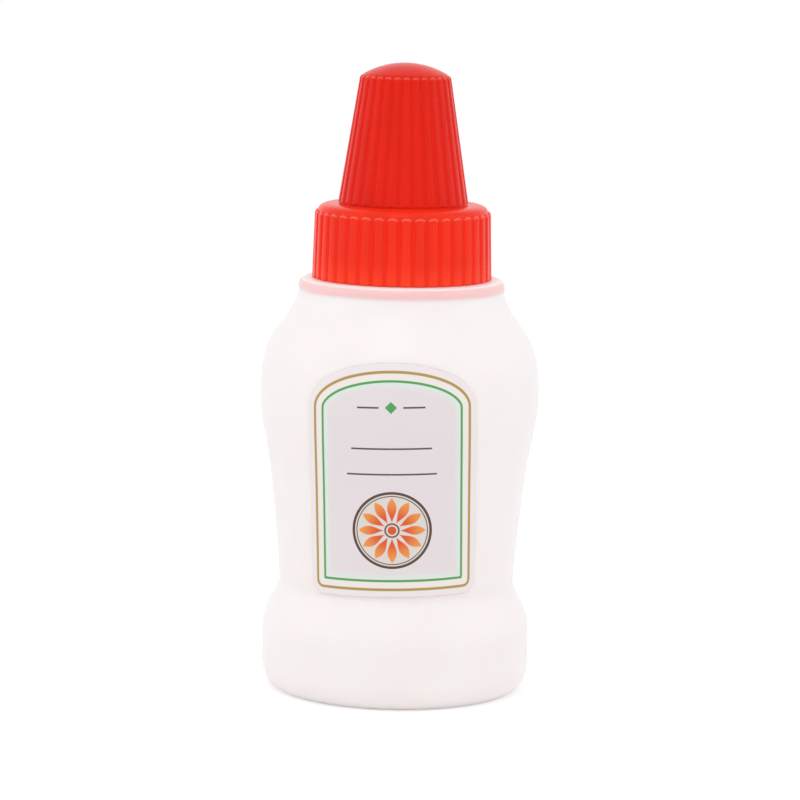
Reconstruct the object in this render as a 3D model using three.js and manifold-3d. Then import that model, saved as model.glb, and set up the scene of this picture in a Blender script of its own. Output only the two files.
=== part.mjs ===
// Mini squeeze bottle: a soft see-through bottle, its label, a screw-on collar with a spout and
// a sealing liner, and a push-on tip cap. Millimetres, +Z up, the origin at the middle of the
// foot's underside, and the label faces -Y.
import * as THREE from "three";
import { mergeVertices } from "three/addons/utils/BufferGeometryUtils.js";
import Module from "manifold-3d";

const wasm = await Module();
wasm.setup();

// Bottle, outside, from the foot up
const footCurveWidth = 2.2;
const footCurveHeight = 3.4;
const footRingWidth = 1.8;
const pushUpHeight = 1.3;
const bandRadius = 17.05;
const bandTop = 7.6;
const waistInset = 2.1;
const waistHeight = 13.76;
const flankInset = 0.83;
const flankHeight = 27.5;
const flankSlopeDegrees = 6.4;
const bellyBulge = 0.67;
const bellyHeight = 38.2;
const creaseRadius = 13.0;
const ringRadius = 13.1;
const ringHeight = 1.65;
const ringTop = 52.75;
const ringCorner = 1.2;
const ringUnderside = 0.3;

// How far the handles of the outline's curves reach: along, as shares of the curve's height, and
// flare, as a share of its change in radius
const stepShares = { start: 0.45, end: 0.28, flare: 0.17 };
const waistShares = { start: 0.29, end: 0.28, flare: 0.07 };
const bellyShares = { start: 0.38, end: 0.38 };
const shoulderShares = { start: 0.68, end: 0.37, flare: 0.21 };

// Bottle walls and neck
const bottleWall = 1.0;
const baseWall = 1.2;
const neckRadius = 8.8;
const neckBoreRadius = 7.3;
const neckHeight = 7.4;
const neckLip = 0.3;
const neckThroat = 1.6;

// Screw thread shared by the neck and the collar
const threadPitch = 3.2;
const threadTurns = 1.25;
const threadDepth = 0.9;
const threadRootHeight = 1.3;
const threadCrestHeight = 0.6;
const threadTopDistance = 0.95;
const threadPlay = 0.2;
const threadBury = 0.4;

// Label: a thin panel with an arched head that wraps round the front
const labelWidth = 22;
const labelBottom = 14.3;
const labelTop = 44.0;
const labelArchRise = 5.6;
const labelCorner = 1.8;
const labelThickness = 0.2;
const labelGap = 0.12;
const labelShift = -0.77;
const labelTiltDegrees = 1.5;

// Sealing liner
const linerThickness = 1.0;
const linerRadius = 9.4;
const linerHoleRadius = 4.0;

// Collar
const collarFootGap = 0.2;
const collarRadius = 11.2;
const collarDraft = 0.33;
const collarBottomCorner = 0.35;
const collarRoof = 1.1;
const collarShoulderDrop = 1.35;
const collarShoulderShares = { start: 0.85, end: 0.3 };
const collarBoreRadius = 10.0;
const seatLandRadius = 8.1;
const seatLandHeight = 0.12;
const ribEnd = 0.45;
const collarRibDepth = 0.3;
const collarRibs = 40;
const collarRibTurnDegrees = -2.1;

// Spout on the collar
const bossRadius = 6.85;
const bossHeight = 2.0;
const bossChamfer = 0.5;
const spoutRootRadius = 5.5;
const spoutTipRadius = 2.2;
const spoutHeadroom = 3.85;
const spoutBoreRadius = 4.1;
const orificeRadius = 1.0;
const orificeLength = 2.0;

// Tip cap
const tipCapHeight = 17.63;
const tipCapFootRadius = 8.03;
const tipCapHeadRadius = 5.57;
const tipCapDomeHeight = 1.3;
const tipCapHeadCorner = 0.5;
const tipCapWall = 1.1;
const tipCapGripGap = 0.15;
const tipCapGripHeight = 2.4;
const pinRadius = 0.85;
const pinReach = 2.5;
const pinTaper = 0.4;
const tipCapRibDepth = 0.2;
const tipCapRibs = 30;
const tipCapRibTurnDegrees = 1.5;

// How finely round shapes are cut into facets
const roundSteps = 40;
const spoutSteps = 32;
const stepsPerRib = 3;
const labelColumns = 18;
const overrun = 1.0;

// Radii and heights that follow from the sizes above
const waistRadius = bandRadius - waistInset;
const flankRadius = bandRadius - flankInset;
const bellyRadius = bandRadius + bellyBulge;
const neckTop = ringTop + neckHeight;
const collarBottom = ringTop + collarFootGap;
const roofUnderside = neckTop + linerThickness;
const collarTop = roofUnderside + collarRoof;
const tipCapBottom = collarTop + seatLandHeight;
const tipCapTop = tipCapBottom + tipCapHeight;
const spoutTip = tipCapTop - spoutHeadroom;

const v2 = (r, z) => new THREE.Vector2(r, z);

// A closed geometry as a solid that can be cut and joined.
function solidOf(geometry) {
  const bare = geometry.clone();
  bare.deleteAttribute("normal");
  bare.deleteAttribute("uv");
  const merged = mergeVertices(bare);
  const index = merged.index.array;
  const corners = [];
  for (let i = 0; i < index.length; i += 3) {
    const [a, b, c] = [index[i], index[i + 1], index[i + 2]];
    if (a !== b && b !== c && c !== a) corners.push(a, b, c);
  }
  const mesh = new wasm.Mesh({
    numProp: 3,
    vertProperties: merged.attributes.position.array,
    triVerts: new Uint32Array(corners),
  });
  return new wasm.Manifold(mesh);
}

function geometryOf(solid) {
  const { vertProperties, triVerts } = solid.getMesh();
  const geometry = new THREE.BufferGeometry();
  geometry.setAttribute("position", new THREE.BufferAttribute(vertProperties, 3));
  geometry.setIndex(new THREE.BufferAttribute(triVerts, 1));
  geometry.computeVertexNormals();
  return geometry;
}

// A profile of (radius, height) points turned round the Z axis.
function turned(points, steps = roundSteps) {
  return new THREE.LatheGeometry(points, steps).rotateX(Math.PI / 2);
}

function curvePoints(start, controlA, controlB, end, count) {
  return new THREE.CubicBezierCurve(start, controlA, controlB, end).getPoints(count);
}

// A quarter of an ellipse about (r, z) between two angles in quarter turns.
function quarter(r, z, width, height, from, to, count) {
  const turn = Math.PI / 2;
  const arc = new THREE.EllipseCurve(r, z, width, height, from * turn, to * turn, from > to);
  return arc.getPoints(count);
}

// The bottle's outer outline from the foot ring's outer edge up to the crease below the ring.
function bodyOutline() {
  const band = bandRadius - waistRadius;
  const rise = waistHeight - bandTop;
  const lower = flankHeight - waistHeight;
  const upper = bellyHeight - flankHeight;
  const crease = ringTop - ringHeight;
  const shoulder = crease - bellyHeight;
  const narrowing = bellyRadius - creaseRadius;
  const slope = Math.tan(THREE.MathUtils.degToRad(flankSlopeDegrees));
  const onFlank = (up) => v2(flankRadius + slope * up, flankHeight + up);
  const foot = quarter(
    bandRadius - footCurveWidth, footCurveHeight, footCurveWidth, footCurveHeight, -1, 0, 3,
  );
  const step = curvePoints(
    v2(bandRadius, bandTop),
    v2(bandRadius, bandTop + stepShares.start * rise),
    v2(waistRadius + stepShares.flare * band, waistHeight - stepShares.end * rise),
    v2(waistRadius, waistHeight),
    6,
  );
  const waist = curvePoints(
    v2(waistRadius, waistHeight),
    v2(waistRadius + waistShares.flare * band, waistHeight + waistShares.start * lower),
    onFlank(-waistShares.end * lower),
    onFlank(0),
    3,
  );
  const belly = curvePoints(
    onFlank(0),
    onFlank(bellyShares.start * upper),
    v2(bellyRadius, bellyHeight - bellyShares.end * upper),
    v2(bellyRadius, bellyHeight),
    5,
  );
  const top = curvePoints(
    v2(bellyRadius, bellyHeight),
    v2(bellyRadius, bellyHeight + shoulderShares.start * shoulder),
    v2(creaseRadius + shoulderShares.flare * narrowing, crease - shoulderShares.end * shoulder),
    v2(creaseRadius, crease),
    8,
  );
  return [...foot, ...step, ...waist.slice(1), ...belly.slice(1), ...top.slice(1)];
}

// The outline moved inwards by a wall, square to the outline at each point.
function movedIn(outline, wall) {
  return outline.map((point, i) => {
    const before = outline[Math.max(i - 1, 0)];
    const after = outline[Math.min(i + 1, outline.length - 1)];
    const along = after.clone().sub(before).normalize();
    return v2(point.x - wall * along.y, point.y + wall * along.x);
  });
}

function bottleProfile(outline) {
  const footOuter = bandRadius - footCurveWidth;
  const footInner = footOuter - footRingWidth;
  const pushUp = curvePoints(
    v2(0, pushUpHeight),
    v2(footInner / 2, pushUpHeight),
    v2(footInner - footRingWidth, 0),
    v2(footInner, 0),
    3,
  );
  const ring = [
    v2(ringRadius, ringTop - ringHeight + ringUnderside),
    ...quarter(ringRadius - ringCorner, ringTop - ringCorner, ringCorner, ringCorner, 0, 1, 3),
    v2(neckRadius, ringTop),
    v2(neckRadius, neckTop - neckLip),
    v2(neckRadius - neckLip, neckTop),
    v2(neckBoreRadius, neckTop),
  ];
  const floor = pushUp.map((point) => v2(point.x, point.y + baseWall)).reverse();
  const inside = movedIn(outline, bottleWall).filter((point) => point.y > baseWall + bottleWall);
  const roof = inside.at(-1);
  const throat = curvePoints(
    v2(neckBoreRadius, ringTop - neckThroat / 2),
    v2(neckBoreRadius, ringTop - neckThroat),
    v2(roof.x, ringTop - neckThroat / 2),
    roof,
    4,
  );
  return [...pushUp, ...outline, ...ring, ...throat, ...inside.reverse().slice(1), ...floor.slice(1)];
}

// A right-handed helical ridge whose ends run out into the wall that carries it.
// wallRadius is the surface it stands on, crestRadius its far side, foot its lowest middle height.
function threadRidge(wallRadius, crestRadius, foot) {
  const out = Math.sign(crestRadius - wallRadius);
  const buried = wallRadius - out * threadBury;
  const hidden = wallRadius - (out * threadBury) / 2;
  const steps = Math.round(threadTurns * roundSteps);
  const runOut = roundSteps / 8;
  const rootHalf = threadRootHeight / 2;
  const crestHalf = threadCrestHeight / 2;
  const positions = [];
  for (let i = 0; i <= steps; i++) {
    const angle = (2 * Math.PI * i) / roundSteps;
    const middle = foot + (threadPitch * i) / roundSteps;
    const share = Math.min(1, i / runOut, (steps - i) / runOut);
    const crest = THREE.MathUtils.lerp(hidden, crestRadius, share);
    const section = [
      [buried, -rootHalf],
      [crest, -crestHalf],
      [crest, crestHalf],
      [buried, rootHalf],
    ];
    for (const [radius, lift] of section) {
      positions.push(radius * Math.cos(angle), radius * Math.sin(angle), middle + lift);
    }
  }
  const faces = [[0, 1, 2], [0, 2, 3]];
  for (let i = 0; i < steps; i++) {
    for (let k = 0; k < 4; k++) {
      const a = 4 * i + k;
      const b = 4 * i + ((k + 1) % 4);
      faces.push([a, b + 4, b], [a, a + 4, b + 4]);
    }
  }
  const last = 4 * steps;
  faces.push([last, last + 2, last + 1], [last, last + 3, last + 2]);
  if (out < 0) faces.forEach((face) => face.reverse());
  const geometry = new THREE.BufferGeometry();
  geometry.setAttribute("position", new THREE.Float32BufferAttribute(positions, 3));
  geometry.setIndex(faces.flat());
  return geometry;
}

const threadFoot = neckTop - threadTopDistance - threadPitch * threadTurns;

function bottle(outline) {
  const body = solidOf(turned(bottleProfile(outline)));
  const ridge = solidOf(threadRidge(neckRadius, neckRadius + threadDepth, threadFoot));
  return geometryOf(body.add(ridge));
}

// The bottle's radius at a height, read off its outline.
function radiusAt(outline, height) {
  const above = outline.findIndex((point) => point.y > height);
  const [low, high] = [outline[above - 1], outline[above]];
  const share = (height - low.y) / (high.y - low.y);
  return THREE.MathUtils.lerp(low.x, high.x, share);
}

// Half of the label's outline, from the bottom edge up to the top of the arch.
function labelOutline() {
  const half = labelWidth / 2;
  const spring = labelTop - labelArchRise;
  const corner = quarter(
    half - labelCorner, labelBottom + labelCorner, labelCorner, labelCorner, -1, 0, 3,
  );
  const side = new THREE.LineCurve(v2(half, labelBottom + labelCorner), v2(half, spring));
  const arch = quarter(0, spring, half, labelArchRise, 0, 1, 6);
  return [...corner, ...side.getPoints(8).slice(1), ...arch.slice(1)];
}

// A point of the label: across and height on the flat sheet, and its distance off the bottle.
function labelPoint(outline, across, height, off) {
  const middle = (labelBottom + labelTop) / 2;
  const tilt = THREE.MathUtils.degToRad(labelTiltDegrees);
  const up = height - middle;
  const side = labelShift + across * Math.cos(tilt) - up * Math.sin(tilt);
  const z = middle + across * Math.sin(tilt) + up * Math.cos(tilt);
  const radius = radiusAt(outline, z);
  const angle = side / radius;
  return [(radius + off) * Math.sin(angle), -(radius + off) * Math.cos(angle), z];
}

function label(outline) {
  const rows = labelOutline();
  const width = labelColumns + 1;
  const layer = rows.length * width;
  const positions = [];
  for (const off of [labelGap, labelGap + labelThickness]) {
    for (const { x: half, y: height } of rows) {
      for (let c = 0; c < width; c++) {
        const across = half * ((2 * c) / labelColumns - 1);
        positions.push(...labelPoint(outline, across, height, off));
      }
    }
  }
  const faces = [];
  const quad = (a, b, c, d) => faces.push([a, b, c], [a, c, d]);
  for (let r = 0; r + 1 < rows.length; r++) {
    for (let c = 0; c < labelColumns; c++) {
      const a = r * width + c;
      quad(a, a + width, a + width + 1, a + 1);
      quad(layer + a, layer + a + 1, layer + a + width + 1, layer + a + width);
    }
    const left = r * width;
    const right = left + labelColumns;
    quad(left, layer + left, layer + left + width, left + width);
    quad(right, right + width, layer + right + width, layer + right);
  }
  for (let c = 0; c < labelColumns; c++) quad(c, c + 1, layer + c + 1, layer + c);
  const geometry = new THREE.BufferGeometry();
  geometry.setAttribute("position", new THREE.Float32BufferAttribute(positions, 3));
  geometry.setIndex(faces.flat());
  return geometryOf(solidOf(geometry));
}

function sealingLiner() {
  return turned([
    v2(linerHoleRadius, neckTop),
    v2(linerRadius, neckTop),
    v2(linerRadius, roofUnderside),
    v2(linerHoleRadius, roofUnderside),
    v2(linerHoleRadius, neckTop),
  ]);
}

// A turned profile with upright ribs between two heights; each rib's top slopes back into the wall.
function ribbed(points, ribs, depth, turnDegrees, ribBottom, ribTop) {
  const geometry = turned(points, ribs * stepsPerRib);
  const position = geometry.attributes.position;
  for (let i = 0; i < position.count; i++) {
    const [x, y, z] = [position.getX(i), position.getY(i), position.getZ(i)];
    const radius = Math.hypot(x, y);
    if (radius === 0 || z < ribBottom || z > ribTop) continue;
    const step = Math.round((Math.atan2(y, x) / (2 * Math.PI)) * ribs * stepsPerRib);
    const inGroove = step % stepsPerRib === 0;
    const end = Math.min(1, (ribTop - z) / ribEnd);
    const scale = 1 + (inGroove ? 0 : (depth * end) / radius);
    position.setXY(i, x * scale, y * scale);
  }
  return geometry.rotateZ(THREE.MathUtils.degToRad(turnDegrees));
}

// The collar's outer shell as a plug: a drafted skirt, a rounded shoulder and the cap's seat.
function collarShell() {
  const shoulderRadius = collarRadius - collarDraft;
  const shoulderFoot = collarTop - collarShoulderDrop;
  const width = shoulderRadius - seatLandRadius;
  const ribTop = shoulderFoot + ribEnd;
  const draftSlope = collarDraft / (shoulderFoot - collarBottom);
  const radiusUp = (height) => collarRadius - draftSlope * (height - collarBottom);
  const shoulder = curvePoints(
    v2(shoulderRadius, shoulderFoot),
    v2(shoulderRadius, shoulderFoot + collarShoulderShares.start * collarShoulderDrop),
    v2(shoulderRadius - collarShoulderShares.end * width, collarTop),
    v2(seatLandRadius, collarTop),
    6,
  );
  return ribbed(
    [
      v2(0, collarBottom),
      v2(collarRadius - collarBottomCorner, collarBottom),
      v2(radiusUp(collarBottom + collarBottomCorner), collarBottom + collarBottomCorner),
      ...shoulder,
      v2(seatLandRadius, tipCapBottom),
      v2(0, tipCapBottom),
    ],
    collarRibs,
    collarRibDepth,
    collarRibTurnDegrees,
    collarBottom + collarBottomCorner / 2,
    ribTop,
  );
}

function spoutBody() {
  return turned(
    [
      v2(0, roofUnderside),
      v2(bossRadius, roofUnderside),
      v2(bossRadius, tipCapBottom + bossHeight - bossChamfer),
      v2(bossRadius - bossChamfer, tipCapBottom + bossHeight),
      v2(spoutRootRadius, tipCapBottom + bossHeight),
      v2(spoutTipRadius, spoutTip),
      v2(0, spoutTip),
    ],
    spoutSteps,
  );
}

function spoutBore() {
  return turned(
    [
      v2(0, roofUnderside - overrun),
      v2(spoutBoreRadius, roofUnderside - overrun),
      v2(spoutBoreRadius, tipCapBottom),
      v2(orificeRadius, spoutTip - orificeLength),
      v2(orificeRadius, spoutTip + overrun),
      v2(0, spoutTip + overrun),
    ],
    spoutSteps,
  );
}

function spoutCollar() {
  const cavity = turned([
    v2(0, collarBottom - overrun),
    v2(collarBoreRadius, collarBottom - overrun),
    v2(collarBoreRadius, roofUnderside),
    v2(0, roofUnderside),
  ]);
  const crestRadius = collarBoreRadius - threadDepth;
  const flanks = (threadRootHeight + threadCrestHeight) / 2;
  const ridge = threadRidge(collarBoreRadius, crestRadius, threadFoot - flanks - threadPlay);
  const shell = solidOf(collarShell()).subtract(solidOf(cavity));
  const body = shell.add(solidOf(ridge)).add(solidOf(spoutBody()));
  return geometryOf(body.subtract(solidOf(spoutBore())));
}

function tipCapOutside() {
  const dome = tipCapTop - tipCapDomeHeight;
  const edge = dome - tipCapHeadCorner;
  const span = tipCapHeadRadius - tipCapHeadCorner;
  const bow = (span * span + tipCapDomeHeight * tipCapDomeHeight) / (2 * tipCapDomeHeight);
  const rings = [4, 3, 2, 1, 0];
  const crown = rings.map((ring) => {
    const radius = (span * ring) / rings[0];
    return v2(radius, tipCapTop - bow + Math.sqrt(bow * bow - radius * radius));
  });
  const taper = (tipCapFootRadius - tipCapHeadRadius) / (edge - tipCapBottom);
  const radiusDown = (drop) => tipCapHeadRadius + taper * drop;
  return ribbed(
    [
      v2(0, tipCapBottom),
      v2(tipCapFootRadius, tipCapBottom),
      v2(radiusDown(ribEnd), edge - ribEnd),
      v2(tipCapHeadRadius, edge),
      ...crown,
    ],
    tipCapRibs,
    tipCapRibDepth,
    tipCapRibTurnDegrees,
    tipCapBottom,
    edge,
  );
}

function tipCapInside() {
  const gripRadius = bossRadius + tipCapGripGap;
  const ceiling = tipCapTop - tipCapWall - tipCapDomeHeight / 2;
  const pinEnd = spoutTip - pinReach;
  return turned(
    [
      v2(0, tipCapBottom - overrun),
      v2(gripRadius, tipCapBottom - overrun),
      v2(gripRadius, tipCapBottom + tipCapGripHeight),
      v2(tipCapHeadRadius - tipCapWall, ceiling),
      v2(pinRadius, ceiling),
      v2(pinRadius, pinEnd + pinTaper),
      v2(pinRadius - pinTaper, pinEnd),
      v2(0, pinEnd),
    ],
    spoutSteps,
  );
}

function tipCap() {
  return geometryOf(solidOf(tipCapOutside()).subtract(solidOf(tipCapInside())));
}

function plastic(color, roughness, opacity = 1) {
  return new THREE.MeshStandardMaterial({
    color,
    roughness,
    metalness: 0,
    opacity,
    transparent: opacity < 1,
  });
}

function piece(name, geometry, material) {
  const mesh = new THREE.Mesh(geometry, material);
  mesh.name = name;
  return mesh;
}

const outline = bodyOutline();
const squeezeBottle = new THREE.Group();
squeezeBottle.add(
  piece("bottle", bottle(outline), plastic(0xf8eeee, 0.35, 0.6)),
  piece("label", label(outline), plastic(0xe9e4ea, 0.5)),
  piece("sealing_liner", sealingLiner(), plastic(0xf4f2ee, 0.6)),
  piece("spout_collar", spoutCollar(), plastic(0xe8301f, 0.3)),
  piece("tip_cap", tipCap(), plastic(0xdd2a1c, 0.3)),
);

export default squeezeBottle;
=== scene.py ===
"""Mini squeeze bottle: the looks of a milky see-through bottle, its label, a sealing liner, a
red screw-on collar with a spout, and a push-on tip cap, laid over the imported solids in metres."""

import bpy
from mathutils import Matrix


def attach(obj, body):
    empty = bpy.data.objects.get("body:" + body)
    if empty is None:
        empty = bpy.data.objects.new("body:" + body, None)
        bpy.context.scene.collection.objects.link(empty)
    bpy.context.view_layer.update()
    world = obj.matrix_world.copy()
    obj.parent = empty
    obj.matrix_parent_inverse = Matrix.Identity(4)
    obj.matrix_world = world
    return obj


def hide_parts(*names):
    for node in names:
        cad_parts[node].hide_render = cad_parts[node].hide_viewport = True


bl_info = {
    "name": "Mini Squeeze Bottle",
    "version": (1, 0, 0),
    "blender": (4, 5, 0),
    "location": "View3D > Sidebar > Squeeze Bottle",
    "description": "Builds a small squeeze bottle with its label, liner, spouted collar and tip cap",
    "category": "Add Mesh",
}

from types import SimpleNamespace

import bpy
import numpy as np
from bpy.props import FloatProperty, FloatVectorProperty, IntProperty, PointerProperty
from bpy.types import Operator, Panel, PropertyGroup
from mathutils import Matrix, Vector

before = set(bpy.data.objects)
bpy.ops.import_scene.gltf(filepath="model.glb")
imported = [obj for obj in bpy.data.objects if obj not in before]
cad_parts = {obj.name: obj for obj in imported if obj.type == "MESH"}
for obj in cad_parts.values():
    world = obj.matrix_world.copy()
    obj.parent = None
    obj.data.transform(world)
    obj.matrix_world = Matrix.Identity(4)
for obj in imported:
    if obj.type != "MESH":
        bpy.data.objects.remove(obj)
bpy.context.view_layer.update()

MM = 0.001
FULL_TURN = 2 * np.pi
QUARTER_TURN = np.pi / 2

# The longest step between a mesh's rows: on the bottle's wall, which the label follows, on the
# threads, on the ribs' rounded ends, and wherever a piece is plain.
WALL_STEP = 0.34 * MM
THREAD_STEP = 0.15 * MM
RIB_END_STEP = 0.04 * MM
PLAIN_STEP = 0.7 * MM

# How many columns go round the bottle, round the small pieces without ribs, and along the
# label's edge.
BOTTLE_COLUMNS = 192
SMALL_COLUMNS = 128
LABEL_COLUMNS = 300


# Properties.


def length(name, millimetres, description):
    """A length property whose default is given in millimetres."""
    return FloatProperty(
        name=name, description=description, default=millimetres * MM,
        subtype="DISTANCE", unit="LENGTH", precision=5,
    )


def spot(name, millimetres, description):
    """A place whose default is given in millimetres."""
    return FloatVectorProperty(
        name=name, description=description, default=[value * MM for value in millimetres],
        size=3, subtype="TRANSLATION", unit="LENGTH", precision=5,
    )


def degrees(name, value, description):
    return FloatProperty(
        name=name, description=description, default=float(np.radians(value)),
        subtype="ANGLE", unit="ROTATION",
    )


def share(name, value, description):
    return FloatProperty(
        name=name, description=description, default=value, min=0, max=1, subtype="FACTOR",
    )


def watts(name, value, description):
    return FloatProperty(name=name, description=description, default=value, min=0, unit="POWER")


def number(name, value, description):
    return IntProperty(name=name, description=description, default=value, min=3)


def linear(red, green, blue):
    """A colour written in 0 to 255 screen values, as the light values that shaders take."""
    value = np.array([red, green, blue]) / 255
    return tuple(np.where(value > 0.04045, ((value + 0.055) / 1.055) ** 2.4, value / 12.92).tolist())


def colour(name, screen_values, description):
    return FloatVectorProperty(
        name=name, description=description, default=linear(*screen_values),
        size=3, min=0, max=1, subtype="COLOR",
    )


class BottleSizes(PropertyGroup):
    band_radius: length("Foot band radius", 17.05, "Outer radius of the straight band above the foot")
    band_top: length("Foot band top", 7.6, "Height at which the band starts to draw in")
    foot_width: length("Foot curve width", 2.2, "How far the rounded foot draws in")
    foot_height: length("Foot curve height", 3.4, "How high the rounded foot reaches")
    foot_ring: length("Foot ring width", 1.8, "Width of the flat ring the bottle stands on")
    push_up: length("Push-up height", 1.3, "How far the middle of the base is pushed up")
    waist_inset: length("Waist inset", 2.1, "How far the waist lies inside the foot band")
    waist_height: length("Waist height", 13.76, "Height of the waist")
    flank_inset: length("Flank inset", 0.83, "How far the flank lies inside the foot band")
    flank_height: length("Flank height", 27.5, "Height at which the flank runs straight")
    flank_slope: degrees("Flank slope", 6.4, "How much the flank leans outwards")
    belly_bulge: length("Belly bulge", 0.67, "How far the belly stands out past the foot band")
    belly_height: length("Belly height", 38.2, "Height of the widest place of the belly")
    crease_radius: length("Crease radius", 13.0, "Radius of the crease under the neck ring")
    ring_radius: length("Neck ring radius", 13.1, "Outer radius of the ring under the collar")
    ring_height: length("Neck ring height", 1.65, "Height of the ring under the collar")
    ring_top: length("Neck ring top", 52.75, "Height of the ledge that the neck rises from")
    ring_corner: length("Neck ring corner", 1.2, "Rounding of the ring's upper corner")
    ring_under: length("Neck ring underside", 0.3, "Height of the slope under the ring")
    ring_edge: length("Neck ring edge", 0.12, "Rounding of the edge over that slope")
    # The heights of the collar's red light, painted as a pink glow on the neck ring.
    collar_light_start: length("Blush start", 0.05, "How far below the crease the collar's red starts to show")
    collar_light_rise: length("Blush rise", 0.55, "Height over which that red comes in")
    collar_light_end: length("Blush end", 0.14, "How far below the ring's top the red ends")
    collar_light_fall: length("Blush fall", 0.26, "Height over which it goes out")
    wall: length("Wall", 1.0, "Thickness of the bottle's wall")
    base_wall: length("Base wall", 1.2, "Thickness of the bottle's base")
    neck_radius: length("Neck radius", 8.8, "Outer radius of the neck, without its thread")
    neck_bore: length("Neck bore", 7.3, "Inner radius of the neck")
    neck_height: length("Neck height", 7.4, "Height of the neck above the ring")
    neck_root: length("Neck root", 0.22, "Rounding where the neck meets the ring")
    neck_plain: length("Neck's plain ends", 0.35, "Height without thread at the neck's root and rim")
    neck_lip: length("Neck lip", 0.28, "Rounding of the two edges of the neck's rim")
    throat: length("Throat", 0.8, "How far the bore reaches below the ring's top before it widens")
    seam_height: length("Parting line height", 0.05, "How far the mould's parting lines stand out")
    seam_width: length("Parting line width", 0.35, "About half the width of those lines")


class ThreadSizes(PropertyGroup):
    pitch: length("Thread pitch", 3.2, "How far the thread climbs in one turn")
    turns: FloatProperty(
        name="Thread turns", description="How often the thread goes round", default=1.25, min=0.5)
    depth: length("Thread depth", 0.9, "How far the thread stands off its wall")
    root: length("Thread root", 1.08, "Height of the thread where it meets its wall")
    crest: length("Thread crest", 0.6, "Height of the thread's flat top")
    top_distance: length("Thread top distance", 0.95, "From the neck's rim down to the thread's end")
    drop: length("Inner thread drop", 1.15, "How far the collar's thread lies under the neck's")


class LabelSizes(PropertyGroup):
    width: length("Label width", 22.0, "Width of the flat label")
    bottom: length("Label bottom", 14.3, "Height of the label's lower edge")
    top: length("Label top", 44.0, "Height of the top of the label's arch")
    arch: length("Arch rise", 5.6, "How far the arched head rises")
    corner: length("Corner radius", 1.8, "Radius of the label's lower corners")
    lift: length("Lift", 0.04, "Gap between the bottle and the back of the label")
    thickness: length("Thickness", 0.2, "Thickness of the label")
    blunt: share("Blunt edge", 0.2, "Share of the thickness that the cut edge stands upright")
    shift: length("Shift", -0.77, "How far the label sits to one side of the front")
    tilt: degrees("Tilt", 1.5, "How much the label leans")
    frame_inset: length("Frame inset", 0.85, "From the label's edge to the outer frame line")
    frame_gap: length("Frame gap", 0.8, "From the outer frame line to the inner one")
    outer_line: length("Outer line width", 0.34, "Width of the outer frame line")
    inner_line: length("Inner line width", 0.3, "Width of the inner frame line")
    inner_fade: length("Inner fade", 1.1, "How far the tint inside the inner line reaches")
    rule_width: length("Rule width", 0.22, "Width of the ruled lines to write on")
    top_rule: length("Top rule height", 38.6, "Height of the ornamented top rule")
    top_half: length("Top rule reach", 4.2, "How far the top rule reaches to each side")
    middle_rule: length("Middle rule height", 33.4, "Height of the middle rule")
    middle_half: length("Middle rule reach", 5.0, "How far the middle rule reaches to each side")
    low_rule: length("Low rule height", 30.1, "Height of the low rule")
    low_half: length("Low rule reach", 5.6, "How far the low rule reaches to each side")
    lozenge: length("Lozenge size", 0.75, "From the middle of the lozenge to its points")
    picture_radius: length("Rosette radius", 4.95, "Radius of the printed rosette")
    picture_height: length("Rosette height", 22.94, "Height of the rosette's middle")
    petals: number("Petals", 12, "Number of petals in the rosette")
    ink_edge: length("Ink edge", 0.03, "How far the printed ink's edges spread")


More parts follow.
